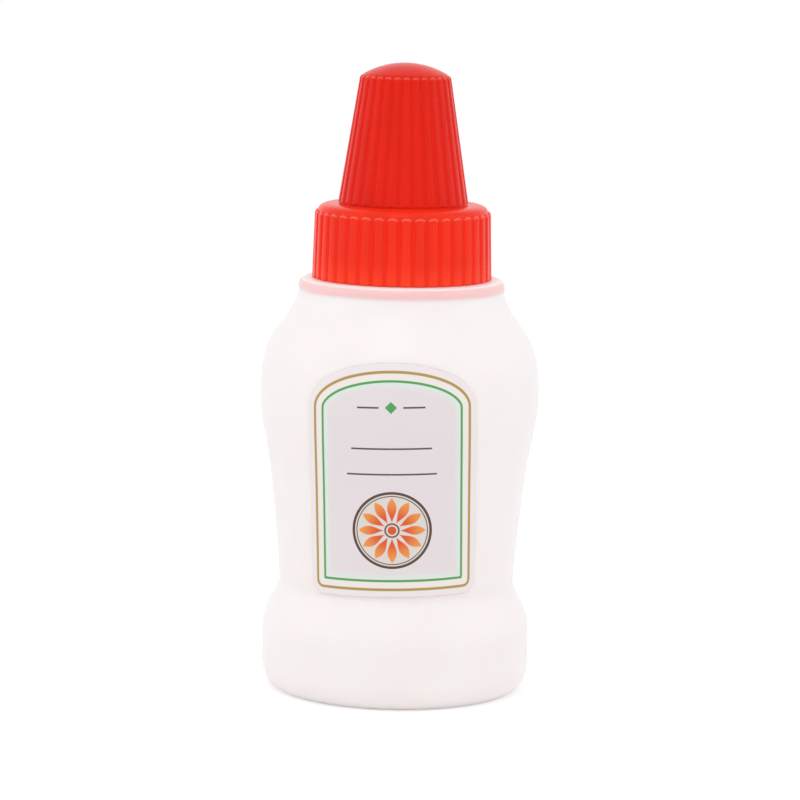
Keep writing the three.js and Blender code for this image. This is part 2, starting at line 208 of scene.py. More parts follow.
class CollarSizes(PropertyGroup):
    foot_gap: length("Foot gap", 0.04, "Gap between the neck ring and the collar")
    foot_edge: length("Foot edge", 0.06, "Rounding of the skirt's outer foot edge")
    bore_edge: length("Bore edge", 0.1, "Rounding of the edges of the bore and of the roof's hole")
    bore_plain: length("Bore's plain ends", 0.4, "Height without thread at both ends of the bore")
    radius: length("Skirt radius", 11.2, "Radius of the skirt's grooves at its foot")
    draft: length("Draft", 0.33, "How much the skirt draws in up to its shoulder")
    roof: length("Roof thickness", 1.1, "Thickness of the collar's roof")
    roof_rise: length("Roof rise", 0.02, "How much higher the roof's underside is at the spout")
    roof_corner: length("Roof corner", 0.2, "Rounding of the corner between the roof and the bore")
    shoulder_drop: length("Shoulder drop", 1.35, "Height of the rounded shoulder")
    bore: length("Skirt bore", 10.0, "Inner radius of the skirt, without its thread")
    seat_radius: length("Seat radius", 8.1, "Radius of the low land that the tip cap sits on")
    seat_height: length("Seat height", 0.12, "Height of that land")
    ribs: number("Ribs", 40, "Number of grip ribs round the skirt")
    rib_turn: degrees("Rib turn", -2.1, "How far the ribs are turned round the axis")
    rib_depth: length("Rib depth", 0.3, "How far the ribs stand out")
    rib_foot: share("Rib foot", 0.7, "Share of their depth that the ribs have at the skirt's foot")
    rib_end: length("Rib end", 0.34, "Height over which a rib's top runs out")
    rib_arch: length("Rib arch", 0.4, "How much lower the sides of a rib's top are than its middle")
    rib_overrun: length("Rib overrun", 0.1, "How far the ribs' ends reach into the shoulder")
    rib_groove: share("Groove share", 0.12, "Share of a rib's pitch that is the groove's bottom")
    rib_crest: share("Crest share", 0.5, "Share of a rib's pitch that is the rib's flat")
    # Where the collar's foot is painted a paler red, as light from below.
    foot_light_start: length("Pale foot start", -0.4, "Height above the foot at which its paler red is full")
    foot_light_end: length("Pale foot end", 3.2, "Height above the foot at which its paler red ends")
    boss_radius: length("Boss radius", 6.85, "Radius of the boss that grips the tip cap")
    boss_height: length("Boss height", 2.0, "Height of the boss above the seat")
    boss_corner: length("Boss corner", 0.5, "Rounding of the boss's upper edge")
    spout_root: length("Spout root radius", 5.5, "Outer radius of the spout at its root")
    spout_tip: length("Spout tip radius", 2.2, "Outer radius of the spout at its tip")
    spout_edge: length("Spout edge", 0.3, "Rounding of the spout's root and of its tip")
    spout_lap: length("Spout lap", 0.6, "How far the spout's root laps over the collar's roof")
    spout_inset: length("Spout inset", 0.06, "How far the spout's underside lies above the roof's")
    spout_bore: length("Spout bore", 4.1, "Inner radius of the spout at its root")
    spout_throat: length("Spout throat", 0.8, "Rounding where the spout's bore starts to narrow")
    orifice: length("Orifice radius", 1.0, "Radius of the hole at the spout's tip")
    orifice_length: length("Orifice length", 2.0, "Length of the straight part of that hole")
    orifice_edge: length("Orifice edge", 0.2, "Rounding of the hole's outer edge")
    orifice_lead: length("Orifice lead", 0.5, "Rounding where the bore meets the hole")


class LinerSizes(PropertyGroup):
    thickness: length("Liner thickness", 1.0, "Thickness of the sealing liner")
    radius: length("Liner radius", 9.4, "Outer radius of the sealing liner")
    hole: length("Liner hole radius", 4.0, "Radius of the hole in the sealing liner")
    edge: length("Liner edge", 0.18, "Rounding of the sealing liner's edges")


class TipCapSizes(PropertyGroup):
    height: length("Height", 17.63, "Height of the tip cap")
    foot: length("Foot radius", 8.03, "Radius of the tip cap's grooves at its foot")
    foot_edge: length("Foot edge", 0.15, "Rounding of the inner edge of the foot")
    foot_rim: length("Foot rim", 0.05, "Height of the thin rim under the ribs")
    foot_cover: share("Foot cover", 0.9, "Share of the ribs' depth that the rim under them covers")
    foot_band: length("Foot band height", 0.3, "Height of the steeper band at the foot of the wall")
    foot_lean: length("Foot band lean", 0.02, "How much that band draws in")
    head: length("Head radius", 5.57, "Radius of the tip cap's grooves at its head")
    dome: length("Dome height", 1.3, "Height of the domed top")
    head_corner: length("Head corner", 0.5, "Width of the corner round the dome")
    wall: length("Wall", 1.1, "Thickness of the tip cap's wall at its head")
    grip_gap: length("Grip gap", 0.15, "Gap between the boss and the tip cap")
    grip_height: length("Grip height", 2.4, "Height of the bore that grips the boss")
    inner_corner: length("Inner corners", 0.4, "Rounding at the pin's root and above the grip")
    ceiling_corner: length("Ceiling corner", 0.6, "Rounding of the corner round the cap's ceiling")
    headroom: length("Headroom", 3.85, "From the spout's tip up to the top of the cap")
    pin: length("Pin radius", 0.85, "Radius of the pin that plugs the spout")
    pin_reach: length("Pin reach", 2.5, "How far the pin reaches into the spout")
    pin_point: length("Pin point width", 0.15, "How much narrower the pin is at its end")
    pin_lead: length("Pin point height", 0.6, "Height over which the pin narrows")
    pin_edge: length("Pin edge", 0.2, "Rounding of the pin's end")
    ribs: number("Ribs", 30, "Number of grip ribs round the tip cap")
    rib_turn: degrees("Rib turn", 1.5, "How far the ribs are turned round the axis")
    rib_depth: length("Rib depth", 0.2, "How far the ribs stand out")
    rib_end: length("Rib end", 0.26, "Height over which a rib's top runs out")
    rib_arch: length("Rib arch", 0.3, "How much lower the sides of a rib's top are than its middle")
    rib_groove: share("Groove share", 0.12, "Share of a rib's pitch that is the groove's bottom")
    rib_crest: share("Crest share", 0.45, "Share of a rib's pitch that is the rib's flat")


class Finishes(PropertyGroup):
    milky: colour("Milky plastic", (255, 241, 240), "Colour of the bottle's plastic")
    # Painted light: the collar's red, painted on the bottle close under the collar.
    painted_collar_light: colour("Painted collar light", (244, 196, 197), "Tint of the bottle close under the red collar")
    collar_red: colour("Collar red", (248, 48, 23), "Colour of the collar and its spout")
    # Painted light: the paler red of the collar's foot, as if lit from below.
    foot_light_red: colour("Collar foot painted light", (253, 67, 34), "Lighter red of the collar's thin foot")
    cap_red: colour("Cap red", (230, 32, 10), "Colour of the tip cap")
    # Painted highlight on the ribs' rounded ends.
    rib_highlight_red: colour("Painted rib highlight", (255, 132, 108), "Light red of the ribs' rounded ends")
    liner: colour("Liner foam", (238, 236, 230), "Colour of the sealing liner")
    paper: colour("Label panel", (228, 219, 222), "Colour of the label inside its frame")
    margin: colour("Label margin", (237, 228, 229), "Colour of the label outside its frame")
    gold: colour("Outer line", (176, 148, 78), "Colour of the outer frame line")
    green: colour("Inner line", (82, 160, 94), "Colour of the inner frame line")
    cream: colour("Between the lines", (238, 231, 222), "Tint between the two frame lines")
    mint: colour("Inside the lines", (222, 230, 223), "Tint just inside the inner frame line")
    ink: colour("Ruled lines", (84, 76, 80), "Colour of the ruled lines to write on")
    petal: colour("Petals", (222, 84, 40), "Colour of the rosette's petals")
    petal_tip: colour("Petal tips", (236, 150, 74), "Colour of the petals' outer ends")
    bark: colour("Rosette ring", (92, 66, 56), "Colour of the rosette's dark rings")
    pith: colour("Rosette ground", (222, 214, 208), "Colour between the petals")


class Grains(PropertyGroup):
    wall_glow: length("Wall glow", 0.8, "How far light spreads in the bottle's wall")
    hollow_glow: length("Hollow glow", 6.0, "How far light spreads from the bottle's inner side")
    clouds: length("Clouds", 9.0, "Size of the faint clouds in the bottle's plastic")
    smears: length("Smears", 2.5, "Size of the patches where the bottle's gloss changes")
    peel: length("Peel", 1.1, "Size of the dimples in the bottle's surface")
    peel_depth: length("Peel depth", 0.02, "Depth of those dimples")
    flow: length("Flow marks", 3.0, "Width of the flow marks in the red plastic")
    scuffs: length("Scuffs", 1.6, "Size of the patches where the red plastic's gloss changes")
    satin: length("Satin", 0.9, "Size of the dimples in the red plastic")
    satin_depth: length("Satin depth", 0.004, "Depth of those dimples")
    pores: length("Pores", 0.25, "Size of the liner's pores")
    pore_depth: length("Pore depth", 0.05, "Depth of the liner's pores")
    varnish: length("Varnish", 0.8, "Size of the patches where the label's gloss changes")
    fibres: length("Fibres", 0.35, "Size of the label's paper fibres")
    fibre_depth: length("Fibre depth", 0.006, "How far the fibres show in the surface")


class StudioSettings(PropertyGroup):
    world_light: share("World light", 0.93, "Strength of the even light from all round")
    top_light: watts("Top light", 0.65, "Power of the lamp above the front")
    left_light: watts("Left light", 0.3, "Power of the lamp at the left")
    right_light: watts("Right light", 0.3, "Power of the lamp at the right")
    top_spot: spot("Top lamp", (-100, -450, 750), "Place of the lamp above the front")
    left_spot: spot("Left lamp", (-750, -100, 350), "Place of the lamp at the left")
    right_spot: spot("Right lamp", (750, -150, 350), "Place of the lamp at the right")
    aim: spot("Aim", (0, 0, 40), "Place that the lamps point at")
    lamp_size: length("Lamp size", 340.0, "Width of the three round lamps")
    floor_size: length("Floor size", 3000.0, "Width of the floor")
    floor_light: share("Floor light", 0.95, "How much of the light that falls on it the floor gives back")
    floor_seen: share("Seen floor", 0.5, "Paleness of the floor as it is seen, without its glow")
    floor_glow: share("Floor glow", 0.56, "Glow that brings the seen floor up to the background")
    camera_distance: length("Camera distance", 460.0, "How far in front of the axis the camera stands")
    camera_height: length("Camera height", 103.752, "Height of the camera")
    target_height: length("Target height", 37.01, "Height on the axis that the camera looks at")
    target_side: length("Target side", 0.07, "How far beside the axis the camera looks")
    camera_roll: degrees("Camera roll", 1.1035, "How far the camera is turned about its own view")
    near_clip: length("Near clip", 10.0, "Distance from which the camera sees")
    lens: FloatProperty(
        name="Lens", description="Focal length for a 36 mm wide picture", default=163.71, unit="CAMERA")


# Profiles.
# A profile is an array of points (radius, height, and one or two shares). It runs up a piece's
# outside and down its inside. The shares say how much of the ribs or thread each point carries.


def point(radius, height, *shares):
    return np.array([radius, height, *shares], float)


def cubic(start, lead, trail, end, count):
    """Points on a cubic curve: the four control points weighted by the cube's shares."""
    t = np.linspace(0, 1, count)[:, None]
    s = 1 - t
    return s**3 * start + 3 * s * s * t * lead + 3 * s * t * t * trail + t**3 * end


def quarter(centre, width, height, first, last, count):
    """Points on an ellipse: the centre plus its width by the cosine and its height by the sine."""
    angle = np.linspace(first, last, count) * QUARTER_TURN
    points = np.repeat(centre[None], count, axis=0)
    points[:, 0] += width * np.cos(angle)
    points[:, 1] += height * np.sin(angle)
    return points


def distinct(profile):
    """The profile without points that fall on the one before."""
    steps = np.linalg.norm(np.diff(profile[:, :2], axis=0), axis=1)
    return profile[np.r_[True, steps > 1e-5 * MM]]


def softened(corners, reaches, count=6):
    """A polyline whose corners are rounded: each corner becomes a quadratic curve that starts and
    ends its reach away along the two edges."""
    corners = np.asarray(corners, float)
    reaches = np.asarray(reaches, float)[:, None]
    t = np.linspace(0, 1, count)[None, :, None]

    def away(other):
        edge = other - corners
        size = np.linalg.norm(edge[:, :2], axis=1, keepdims=True)
        return corners + edge * reaches / np.maximum(size, 1e-9)

    before = away(np.roll(corners, 1, axis=0))[:, None]
    after = away(np.roll(corners, -1, axis=0))[:, None]
    curve = (1 - t) ** 2 * before + 2 * t * (1 - t) * corners[:, None] + t * t * after
    return distinct(curve.reshape(-1, corners.shape[1]))


def spaced(profile, longest):
    """The profile with every step cut into equal parts no longer than longest, which is one length
    or a length for each step."""
    steps = np.linalg.norm(np.diff(profile[:, :2], axis=0), axis=1)
    parts = np.maximum(1, np.ceil(steps / longest)).astype(int)
    index = np.repeat(np.arange(len(steps)), parts)
    offset = np.arange(parts.sum()) - np.repeat(np.cumsum(parts) - parts, parts)
    along = (offset / parts[index])[:, None]
    points = profile[index] + (profile[index + 1] - profile[index]) * along
    return np.vstack([points, profile[-1:]])


def moved_in(profile, wall):
    """The profile moved inwards by wall, square to its own direction at each point."""
    along = np.gradient(profile[:, :2], axis=0)
    along /= np.linalg.norm(along, axis=1, keepdims=True)
    inner = profile.copy()
    inner[:, 0] -= wall * along[:, 1]
    inner[:, 1] += wall * along[:, 0]
    return inner


def smooth(value):
    """0 below 0, 1 above 1, and three squares less two cubes of the value between."""
    t = np.clip(value, 0, 1)
    return t * t * (3 - 2 * t)


# Surfaces.


def round_angles(columns):
    """Even angles round the axis, one for each column."""
    return np.arange(columns) * FULL_TURN / columns


def turned(radii, heights, angles):
    """Points of a turned surface: radius by cosine and sine of the angle, and the height.
    radii is one column, or a grid of rows by angles in which ribs and threads stand out."""
    radius, height, angle = np.broadcast_arrays(radii, heights[:, None], angles)
    return np.stack([radius * np.cos(angle), radius * np.sin(angle), height], axis=-1)


def grid_faces(rows, columns, closed_rows):
    """Faces between neighbouring rows; the columns join round, and so do the rows if closed."""
    row = np.arange(rows if closed_rows else rows - 1)[:, None]
    column = np.arange(columns)[None, :]
    above = (row + 1) % rows
    beside = (column + 1) % columns
    corners = [
        row * columns + column, row * columns + beside,
        above * columns + beside, above * columns + column,
    ]
    return np.stack(corners, axis=-1).reshape(-1, 4)


def surface(name, points, poles):
    """A mesh object on a grid of rows by columns. With poles, its first and last rows are single
    points; without, its last row joins its first. The rows of a turned piece run up its outside,
    so that its faces look outwards."""
    rows, columns = points.shape[:2]
    mesh = bpy.data.meshes.new(name)
    if poles:
        inner = points[1:-1].reshape(-1, 3)
        vertices = np.vstack([inner, points[[0, -1]].mean(axis=1)])
        column = np.arange(columns)
        beside = (column + 1) % columns
        last = (rows - 3) * columns
        bottom = np.stack([np.full(columns, len(inner)), beside, column], axis=-1)
        top = np.stack([last + column, last + beside, np.full(columns, len(inner) + 1)], axis=-1)
        faces = grid_faces(rows - 2, columns, False).tolist() + bottom.tolist() + top.tolist()
    else:
        vertices = points.reshape(-1, 3)
        faces = grid_faces(rows, columns, True).tolist()
    mesh.from_pydata(vertices.tolist(), [], faces, shade_flat=False)
    mesh.validate()
    piece = bpy.data.objects.new(name, mesh)
    bpy.context.scene.collection.objects.link(piece)
    return piece


def carry(piece, name, values, poles):
    """Numbers on the piece's grid, one or three for each point, kept as an attribute for its
    material to read. With poles, the first and last rows stand for the single end points."""
    grid = values.reshape(*values.shape[:2], -1)
    size = grid.shape[2]
    if poles:
        points = np.vstack([grid[1:-1].reshape(-1, size), grid[[0, -1]].mean(axis=1)])
    else:
        points = grid.reshape(-1, size)
    kind, key = ("FLOAT", "value") if size == 1 else ("FLOAT_VECTOR", "vector")
    attribute = piece.data.attributes.new(name, kind, "POINT")
    attribute.data.foreach_set(key, points.ravel().astype(np.float32))
    return piece


def place(piece, body, slot, material, *nodes):
    """The piece rides on its body, stands for the solids it covers, and gets its material."""
    piece.data.materials.append(material)
    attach(piece, body)
    if nodes:
        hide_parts(*nodes)


def thread_rise(angles, heights, end, thread):
    """How far a thread stands out, from 0 to 1: its middle climbs one pitch in a turn up to end,
    it is full between its crest's edges, and it falls smoothly to its root's edges and its ends."""
    run_out_turns = 1 / 8
    foot = end - thread.pitch * thread.turns
    rise = np.zeros((len(heights), len(angles)))
    for lap in range(int(np.ceil(thread.turns))):
        along = angles[None, :] / FULL_TURN + lap
        away = np.abs(heights[:, None] - foot - thread.pitch * along)
        flank = smooth((thread.root / 2 - away) / (thread.root / 2 - thread.crest / 2))
        ends = smooth(np.minimum(along, thread.turns - along) / run_out_turns)
        rise = np.maximum(rise, flank * ends)
    return rise


def rib_angles(ribs, turn):
    """Angles of the columns of a ribbed piece: twelve to a rib, closer together on its flanks."""
    pitch_shares = np.array([0, 0.06, 0.12, 0.18, 0.25, 0.37, 0.5, 0.63, 0.75, 0.82, 0.88, 0.94])
    return ((np.arange(ribs)[:, None] + pitch_shares) / ribs).ravel() * FULL_TURN + turn


def rib_shape(angles, heights, sizes, top):
    """How far grip ribs stand out, from 0 to 1: nothing on the bottom of each groove, rising
    smoothly on its flanks to the rib's flat, and rounded at the top as a quarter circle is, in a
    small arch. The other grids say, from 0 to 1, how deep in a groove each point lies, where the
    material paints shade, and how near it is to the middle of a rib's rounded end, where it paints
    a highlight."""
    phase = (angles - sizes.rib_turn) * sizes.ribs / FULL_TURN % 1
    off_groove = np.minimum(phase, 1 - phase)
    foot = sizes.rib_groove / 2
    crest = (1 - sizes.rib_crest) / 2
    flank = smooth((off_groove - foot) / (crest - foot))
    off_crest = 1 - 2 * off_groove
    finish = top - sizes.rib_arch * off_crest**2
    below = np.clip((finish - heights[:, None]) / sizes.rib_end, 0, 1)
    run_out = np.sqrt(1 - (1 - below) ** 2)
    # Mask of the painted highlight on the rib's rounded end, strongest halfway up it.
    arc = (4 * below * (1 - below)) ** 2
    return flank * run_out, (1 - flank) * run_out, flank * arc


# Materials.


def dimmed(tint, shares):
    """A colour with its light values times one share, or times a share for each."""
    return tuple(np.array(tint) * shares)


class Shader:
    """A material with one principled surface, and short words for the nodes that feed it."""

    def __init__(self, name, **settings):
        self.material = bpy.data.materials.new(name)
        self.material.use_nodes = True
        self.tree = self.material.node_tree
        self.surface = self.tree.nodes["Principled BSDF"]
        for setting, value in settings.items():
            socket = setting.replace("_", " ").title().replace("Ior", "IOR")
            self.surface.inputs[socket].default_value = value

    def node(self, kind, **settings):
        node = self.tree.nodes.new("ShaderNode" + kind)
        for key, value in settings.items():
            setattr(node, key, value)
        return node

    def feed(self, socket, value):
        """Links an output to a socket, or writes a plain value into it."""
        if isinstance(value, bpy.types.NodeSocket):
            self.tree.links.new(value, socket)
        else:
            socket.default_value = value

    def give(self, name, value):
        """Feeds the principled surface's socket of that name."""
        self.feed(self.surface.inputs[name], value)

    def sum(self, operation, *values):
        """The output of one sum on numbers."""
        node = self.node("Math", operation=operation)
        for socket, value in zip(node.inputs, values):
            self.feed(socket, value)
        return node.outputs[0]

    def step(self, value, low, high):
        """0 up to low, 1 from high, and a smooth rise between, or a fall if high is under low."""
        node = self.node("MapRange", interpolation_type="SMOOTHSTEP")
        rising = low < high
        for name, limit in (("From Min", min(low, high)), ("From Max", max(low, high)),
                            ("To Min", float(not rising)), ("To Max", float(rising))):
            node.inputs[name].default_value = limit
        self.feed(node.inputs["Value"], value)
        return node.outputs["Result"]

    def between(self, value, low, high):
        """value, from 0 to 1, spread from low to high."""
        return self.sum("MULTIPLY_ADD", value, high - low, low)

    def mixed(self, amount, first, second):
        """A colour that goes from first to second as amount goes from 0 to 1."""
        node = self.node("Mix", data_type="RGBA")
        self.feed(node.inputs["Factor"], amount)
        for socket, value in ((node.inputs[6], first), (node.inputs[7], second)):
            self.feed(socket, value if isinstance(value, bpy.types.NodeSocket) else (*value, 1))
        return node.outputs[2]

    def place(self):
        return self.node("TexCoord").outputs["Object"]

    def parts(self, vector):
        """The three numbers of a vector."""
        node = self.node("SeparateXYZ")
        self.feed(node.inputs["Vector"], vector)
        return node.outputs

    def carried(self, name, output="Fac"):
        """What the mesh carries under that name."""
        return self.node("Attribute", attribute_name=name).outputs[output]

    def noise(self, size, detail=2.0, stretch=(1, 1, 1)):
        """Noise whose grains are about size metres across, longer where stretch is under 1."""
        mapping = self.node("Mapping")
        mapping.inputs["Scale"].default_value = stretch
        self.feed(mapping.inputs["Vector"], self.place())
        noise = self.node("TexNoise")
        noise.inputs["Scale"].default_value = 1 / size
        noise.inputs["Detail"].default_value = detail
        self.feed(noise.inputs["Vector"], mapping.outputs["Vector"])
        return noise.outputs["Fac"]

    def bump(self, height, distance):
        node = self.node("Bump")
        node.inputs["Strength"].default_value = 1.0
        node.inputs["Distance"].default_value = distance
        self.feed(node.inputs["Height"], height)
        self.give("Normal", node.outputs["Normal"])


def milky_plastic(finishes, grains, bottle):
    """Soft see-through plastic: a faint cloudiness, a slight orange peel, and painted light in the neck
    ring: the collar's red light, painted as a pink glow that goes with height, between the crease
    and the ledge. Light goes deeper from the inner side, so that the hollow glows as a lit milky
    bottle does."""
    shader = Shader(
        "milky_plastic", roughness=0.34, ior=1.5, subsurface_weight=0.9, specular_ior_level=0.4,
        subsurface_radius=(0.5, 0.7, 0.7),
    )
    spread = shader.between(shader.carried("inside"), grains.wall_glow, grains.hollow_glow)
    shader.give("Subsurface Scale", spread)
    clouds = shader.step(shader.noise(grains.clouds, stretch=(1, 1, 0.5)), 0.35, 0.65)
    base = shader.mixed(clouds, finishes.milky, dimmed(finishes.milky, 0.985))
    height = shader.parts(shader.place())["Z"]
    # Painted light: the collar's red reflected into the ring, painted as a pink band between these
    # heights.
    start = bottle.ring_top - bottle.ring_height - bottle.collar_light_start
    end = bottle.ring_top - bottle.collar_light_end
    above = shader.step(height, start, start + bottle.collar_light_rise)
    below = shader.step(height, end, end - bottle.collar_light_fall)
    in_ring = shader.sum("MULTIPLY", above, below)
    painted_collar_light = shader.sum("MULTIPLY", in_ring, 0.85)
    shader.give("Base Color", shader.mixed(painted_collar_light, base, finishes.painted_collar_light))
    shader.give("Roughness", shader.between(shader.noise(grains.smears), 0.3, 0.4))
    shader.bump(shader.noise(grains.peel, 3.0), grains.peel_depth)
    return shader.material


def red_plastic(name, red, finishes, grains, roughness, foot=None):
    """Satin red plastic: faint flow marks along the moulding, fine peel, painted shade in a deeper
    red in the grooves between the ribs, and a painted highlight in light red on the ribs' rounded
    ends. foot gives the heights where the foot's paler red, painted light from below, is full and
    where it ends."""
    shader = Shader(name, roughness=roughness, ior=1.5, specular_ior_level=0.14)
    flow = shader.step(shader.noise(grains.flow, 3.0, stretch=(1, 1, 0.25)), 0.3, 0.7)
    plain = shader.mixed(flow, red, dimmed(red, 0.9))
    if foot:
        full, end = foot
        height = shader.parts(shader.place())["Z"]
        # Painted light: the foot is painted a paler red, as if lit from below.
        plain = shader.mixed(shader.step(height, end, full), plain, finishes.foot_light_red)
    # Painted shade: the grooves between the ribs are painted a deeper red.
    ribbed = shader.mixed(shader.carried("groove"), plain, dimmed(red, [0.97, 0.66, 0.66]))
    # Painted highlight: the ribs' rounded ends are painted a light red.
    rib_highlight = shader.sum("MULTIPLY", shader.carried("rib_end"), 0.5)
    shader.give("Base Color", shader.mixed(rib_highlight, ribbed, finishes.rib_highlight_red))
    scuffs = shader.noise(grains.scuffs)
    shader.give("Roughness", shader.between(scuffs, roughness - 0.05, roughness + 0.06))
    shader.bump(shader.noise(grains.satin), grains.satin_depth)
    return shader.material


def liner_foam(finishes, grains):
    """Pressed white foam: fine pores, matt."""
    shader = Shader("liner_foam", roughness=0.72, ior=1.45, specular_ior_level=0.3)
    pores = shader.noise(grains.pores, 4.0)
    solid = shader.step(pores, 0.35, 0.6)
    shader.give("Base Color", shader.mixed(solid, dimmed(finishes.liner, 0.86), finishes.liner))
    shader.bump(pores, grains.pore_depth)
    return shader.material


def line_between(shader, distance, first, last, edge):
    """1 where distance lies between first and last, with softened edges."""
    inside = shader.step(distance, first - edge, first + edge)
    outside = shader.step(distance, last + edge, last - edge)
    return shader.sum("MULTIPLY", inside, outside)


def printed_frame(shader, inset, sizes, finishes):
    """The label's ground, by the distance from its edge: margin, outer line, cream, inner line,
    and mint fading into the panel."""
    first = sizes.frame_inset
    second = first + sizes.outer_line + sizes.frame_gap
    inner = second + sizes.inner_line
    artwork = shader.mixed(shader.step(inset, first, second), finishes.margin, finishes.cream)
    artwork = shader.mixed(shader.step(inset, second, inner), artwork, finishes.mint)
    artwork = shader.mixed(shader.step(inset, inner, inner + sizes.inner_fade), artwork, finishes.paper)
    outer_line = line_between(shader, inset, first, first + sizes.outer_line, sizes.ink_edge)
    inner_line = line_between(shader, inset, second, inner, sizes.ink_edge)
    artwork = shader.mixed(outer_line, artwork, finishes.gold)
    return shader.mixed(inner_line, artwork, finishes.green)


def printed_rules(shader, artwork, across, up, sizes, finishes):
    """Ruled lines to write on, each a thin bar from its start to its end on both sides, and a
    small lozenge in the top row, where the distances across and up add up to less than its size."""
    edge = sizes.ink_edge
    half = sizes.rule_width / 2
    side = shader.sum("ABSOLUTE", across)
    rows = ((sizes.top_rule, sizes.lozenge * 2, sizes.top_half),
            (sizes.middle_rule, 0, sizes.middle_half),
            (sizes.low_rule, 0, sizes.low_half))
    for height, start, end in rows:
        off = shader.sum("ABSOLUTE", shader.sum("SUBTRACT", up, height))
        bar = shader.step(off, half + edge, half - edge)
        run = line_between(shader, side, start, end, edge)
        artwork = shader.mixed(shader.sum("MULTIPLY", bar, run), artwork, finishes.ink)
    off = shader.sum("ABSOLUTE", shader.sum("SUBTRACT", up, sizes.top_rule))
    lozenge = shader.step(shader.sum("ADD", side, off), sizes.lozenge + edge, sizes.lozenge - edge)
    return shader.mixed(lozenge, artwork, finishes.green)


def printed_petals(shader, reach, angle, sizes, finishes):
    """The rosette's ground and petals. reach is the share of the way from heart to rim. A petal is
    as wide, as a share of its sector, as the sine of its own distance from its root to its tip."""
    root_share = 0.2
    tip_share = 0.84
    edge_share = 0.02
    wave = shader.sum("COSINE", shader.sum("MULTIPLY", angle, float(sizes.petals)))
    past_root = shader.sum("SUBTRACT", reach, root_share)
    along = shader.sum("MULTIPLY", past_root, np.pi / (tip_share - root_share))
    width = shader.sum("MULTIPLY", shader.sum("SINE", along), 0.8)
    off = shader.sum("MULTIPLY", shader.sum("ARCCOSINE", wave), 1 / np.pi)
    blade = shader.step(shader.sum("SUBTRACT", width, off), -0.06, 0.06)
    petal = shader.sum("MULTIPLY", blade, line_between(shader, reach, root_share, tip_share, edge_share))
    tint = shader.mixed(shader.step(reach, 0.3, 0.8), finishes.petal, finishes.petal_tip)
    return shader.mixed(petal, finishes.pith, tint)


def printed_rosette(shader, artwork, across, up, sizes, finishes):
    """A plain rosette: distance and angle from its middle give petals, rings and a heart. The
    rings and the heart are shares of the rosette's radius."""
    heart_share = 0.11
    ring_shares = ((0.15, 0.19), (0.87, 0.895), (0.93, 1.0))
    edge = sizes.ink_edge
    outer = sizes.picture_radius
    rise = shader.sum("SUBTRACT", up, sizes.picture_height)
    squares = shader.sum("ADD", shader.sum("MULTIPLY", across, across), shader.sum("MULTIPLY", rise, rise))
    distance = shader.sum("SQRT", squares)
    reach = shader.sum("DIVIDE", distance, outer)
    picture = printed_petals(shader, reach, shader.sum("ARCTAN2", rise, across), sizes, finishes)
    for first, last in ring_shares:
        ring = line_between(shader, distance, first * outer, last * outer, edge)
        picture = shader.mixed(ring, picture, finishes.bark)
    heart = shader.step(distance, heart_share * outer + edge, heart_share * outer - edge)
    picture = shader.mixed(heart, picture, finishes.petal)
    whole = shader.step(distance, outer + edge, outer - edge)
    return shader.mixed(whole, artwork, picture)


def label_print(finishes, grains, sizes):
    """Printed satin paper. The pattern reads where each point lies on the flat label: across, up,
    and its distance from the label's edge, all in metres."""
    shader = Shader("label_print", roughness=0.42, ior=1.48, specular_ior_level=0.35)
    across, up, inset = shader.parts(shader.carried("flat_place", "Vector"))
    artwork = printed_frame(shader, inset, sizes, finishes)
    artwork = printed_rules(shader, artwork, across, up, sizes, finishes)
    artwork = printed_rosette(shader, artwork, across, up, sizes, finishes)
    shader.give("Base Color", artwork)
    shader.give("Roughness", shader.between(shader.noise(grains.varnish), 0.38, 0.48))
    shader.bump(shader.noise(grains.fibres, 3.0), grains.fibre_depth)
    return shader.material


# Bottle and label.


def bottle_outline(sizes):
    """The bottle's outside from the foot ring's outer edge to the crease under the neck ring: a
    quarter ellipse, then cubic curves through the band, waist, flank and belly."""
    band = sizes.band_radius
    waist = band - sizes.waist_inset
    flank = band - sizes.flank_inset
    belly = band + sizes.belly_bulge
    rise = sizes.waist_height - sizes.band_top
    lower = sizes.flank_height - sizes.waist_height
    upper = sizes.belly_height - sizes.flank_height
    crease = sizes.ring_top - sizes.ring_height
    shoulder = crease - sizes.belly_height
    shoulder_width = belly - sizes.crease_radius
    slope = np.tan(sizes.flank_slope)

    def on_flank(up):
        return point(flank + slope * up, sizes.flank_height + up, 0)

    foot_centre = point(band - sizes.foot_width, sizes.foot_height, 0)
    at_waist = point(waist, sizes.waist_height, 0)
    at_belly = point(belly, sizes.belly_height, 0)
    return distinct(np.vstack([
        quarter(foot_centre, sizes.foot_width, sizes.foot_height, -1, 0, 20),
        cubic(
            point(band, sizes.band_top, 0), point(band, sizes.band_top + 0.45 * rise, 0),
            point(waist + 0.17 * sizes.waist_inset, sizes.waist_height - 0.28 * rise, 0),
            at_waist, 24,
        ),
        cubic(
            at_waist, point(waist + 0.07 * sizes.waist_inset, sizes.waist_height + 0.29 * lower, 0),
            on_flank(-0.28 * lower), on_flank(0), 24,
        ),
        cubic(
            on_flank(0), on_flank(0.38 * upper),
            point(belly, sizes.belly_height - 0.38 * upper, 0), at_belly, 24,
        ),
        cubic(
            at_belly, point(belly, sizes.belly_height + 0.68 * shoulder, 0),
            point(sizes.crease_radius + 0.21 * shoulder_width, crease - 0.37 * shoulder, 0),
            point(sizes.crease_radius, crease, 0), 40,
        ),
    ]))


